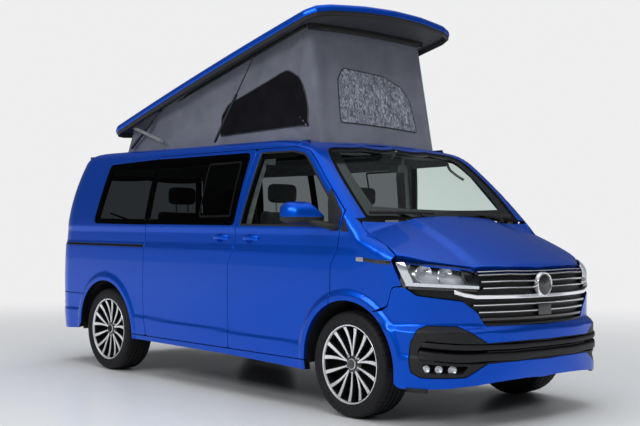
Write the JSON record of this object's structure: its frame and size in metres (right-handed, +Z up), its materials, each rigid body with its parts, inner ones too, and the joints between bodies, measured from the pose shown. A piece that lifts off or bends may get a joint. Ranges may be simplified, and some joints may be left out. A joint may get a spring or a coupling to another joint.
{
  "type": "camper van",
  "caption": "Panel van camper with a tilting pop-top roof over a cloth tent, hinged front doors, tailgate and bonnet, and steered road wheels.",
  "frame": {"origin": "on the ground under the middle of the van's box", "axes": "+Z up, the nose towards -Y, the van's left side towards +X"},
  "size_m": [2.294, 4.87, 2.8175],
  "materials": {
    "body_paint": "metallic gloss",
    "black_plastic": "grained",
    "glass_clear": "clear",
    "glass_tint": "dark tint",
    "tyre": "matt",
    "rim": "machined and black",
    "steel": "satin",
    "cast": "raw",
    "underbody": "sealed",
    "lamp": "clear lens",
    "tail_lamp": "gloss",
    "grille": "gloss",
    "seat": "woven",
    "dash": "grained",
    "cabinet": "laminate",
    "tent": "canvas",
    "dark_steel": "satin"
  },
  "bodies": {
    "root": {"body_frame": "body_paint", "pillar_posts": "dash", "roof_skin": "body_paint", "floor_pan": "underbody", "left_wing": "body_paint", "right_wing": "body_paint", "left_side_panel": "body_paint", "right_side_panel": "body_paint", "sliding_door": "body_paint", "windscreen": "glass_clear", "side_glass": "glass_tint", "front_bumper": "body_paint", "rear_bumper": "body_paint", "grille": "grille", "headlights": "lamp", "tail_lights": "tail_lamp", "front_subframe": "underbody", "rear_axle": "cast", "engine": "cast", "exhaust": "steel", "dashboard": "dash", "front_seats": "seat", "rear_bench": "seat", "kitchen_unit": "cabinet", "tent": "tent"},
    "steering_wheel": {"steering_wheel": "dash"},
    "left_knuckle": {"left_knuckle": "cast"},
    "right_knuckle": {"right_knuckle": "cast"},
    "left_front_wheel": {"left_front_tyre": "tyre", "left_front_rim": "rim"},
    "left_rear_wheel": {"left_rear_tyre": "tyre", "left_rear_rim": "rim"},
    "right_front_wheel": {"right_front_tyre": "tyre", "right_front_rim": "rim"},
    "right_rear_wheel": {"right_rear_tyre": "tyre", "right_rear_rim": "rim"},
    "left_front_door": {"left_front_door": "body_paint", "left_door_glass": "glass_clear", "left_mirror": "black_plastic"},
    "right_front_door": {"right_front_door": "body_paint", "right_door_glass": "glass_clear", "right_mirror": "black_plastic"},
    "tailgate": {"tailgate": "body_paint", "rear_window": "glass_tint"},
    "bonnet": {"bonnet": "body_paint"},
    "roof_levers": {"roof_levers": "steel"},
    "pop_roof": {"pop_roof": "body_paint"},
    "strut_tubes": {"strut_tubes": "dark_steel"},
    "strut_rods": {"strut_rods": "dark_steel"},
    "rear_strut_tubes": {"rear_strut_tubes": "dark_steel"},
    "rear_strut_rods": {"rear_strut_rods": "dark_steel"}
  },
  "joints": [
    {"name": "steering_wheel_turn", "type": "hinge", "parent": "root", "child": "steering_wheel", "pos_m": [0.43, -0.883, 1.105], "axis": [0, 0.866, 0.5], "range_deg": [-480, 480]},
    {"name": "left_steer", "type": "hinge", "parent": "root", "child": "left_knuckle", "pos_m": [0.72, -1.555, 0.346], "axis": [0, 0, 1], "range_deg": [-32.1, 32.1]},
    {"name": "right_steer", "type": "hinge", "parent": "root", "child": "right_knuckle", "pos_m": [-0.72, -1.555, 0.346], "axis": [0, 0, 1], "range_deg": [-32.1, 32.1]},
    {"name": "left_front_wheel_spin", "type": "hinge", "parent": "left_knuckle", "child": "left_front_wheel", "pos_m": [0.814, -1.555, 0.346], "axis": [1, 0, 0], "continuous": true},
    {"name": "left_rear_wheel_spin", "type": "hinge", "parent": "root", "child": "left_rear_wheel", "pos_m": [0.814, 1.445, 0.346], "axis": [1, 0, 0], "continuous": true},
    {"name": "right_front_wheel_spin", "type": "hinge", "parent": "right_knuckle", "child": "right_front_wheel", "pos_m": [-0.814, -1.555, 0.346], "axis": [1, 0, 0], "continuous": true},
    {"name": "right_rear_wheel_spin", "type": "hinge", "parent": "root", "child": "right_rear_wheel", "pos_m": [-0.814, 1.445, 0.346], "axis": [1, 0, 0], "continuous": true},
    {"name": "left_front_door_swing", "type": "hinge", "parent": "root", "child": "left_front_door", "pos_m": [0.936, -1.339, 1], "axis": [0, 0, -1], "range_deg": [0, 64]},
    {"name": "right_front_door_swing", "type": "hinge", "parent": "root", "child": "right_front_door", "pos_m": [-0.936, -1.339, 1], "axis": [0, 0, 1], "range_deg": [0, 64]},
    {"name": "tailgate_lift", "type": "hinge", "parent": "root", "child": "tailgate", "pos_m": [0, 2.173, 1.852], "axis": [1, 0, 0], "range_deg": [0, 84]},
    {"name": "bonnet_lift", "type": "hinge", "parent": "root", "child": "bonnet", "pos_m": [0, -1.669, 1.269], "axis": [-1, 0, 0], "range_deg": [0, 50]},
    {"name": "roof_lower", "type": "hinge", "parent": "root", "child": "roof_levers", "pos_m": [0, 1.004, 1.943], "axis": [-1, 0, 0], "range_deg": [0, 15.6], "deforming": ["tent"]},
    {"name": "roof_tilt", "type": "hinge", "parent": "roof_levers", "child": "pop_roof", "pos_m": [0, 1.503, 2.101], "axis": [1, 0, 0], "range_deg": [0, 29.1]},
    {"name": "strut_swing", "type": "hinge", "parent": "root", "child": "strut_tubes", "pos_m": [0, 0.255, 1.9], "axis": [1, 0, 0], "range_deg": [0, 44.81]},
    {"name": "strut_slide", "type": "slide", "parent": "strut_tubes", "child": "strut_rods", "axis": [0, 0.6127, -0.7903], "range_m": [0, 0.27452]},
    {"name": "rear_strut_swing", "type": "hinge", "parent": "root", "child": "rear_strut_tubes", "pos_m": [0, 1.513, 1.912], "axis": [1, 0, 0], "range_deg": [0, 26.89]},
    {"name": "rear_strut_slide", "type": "slide", "parent": "rear_strut_tubes", "child": "rear_strut_rods", "axis": [0, 0.8284, -0.5601], "range_m": [0, 0.09889]}
  ],
  "couplings": [
    {"joint": "left_steer", "follows": "steering_wheel_turn", "ratio": 0.066667},
    {"joint": "right_steer", "follows": "steering_wheel_turn", "ratio": 0.066667},
    {"joint": "roof_tilt", "follows": "roof_lower", "ratio": 1.8655},
    {"joint": "strut_swing", "follows": "roof_lower", "ratio": 2.8729},
    {"joint": "strut_slide", "follows": "roof_lower", "m_per_rad": 1.0065},
    {"joint": "rear_strut_swing", "follows": "roof_lower", "ratio": 1.7239},
    {"joint": "rear_strut_slide", "follows": "roof_lower", "m_per_rad": 0.3614}
  ]
}
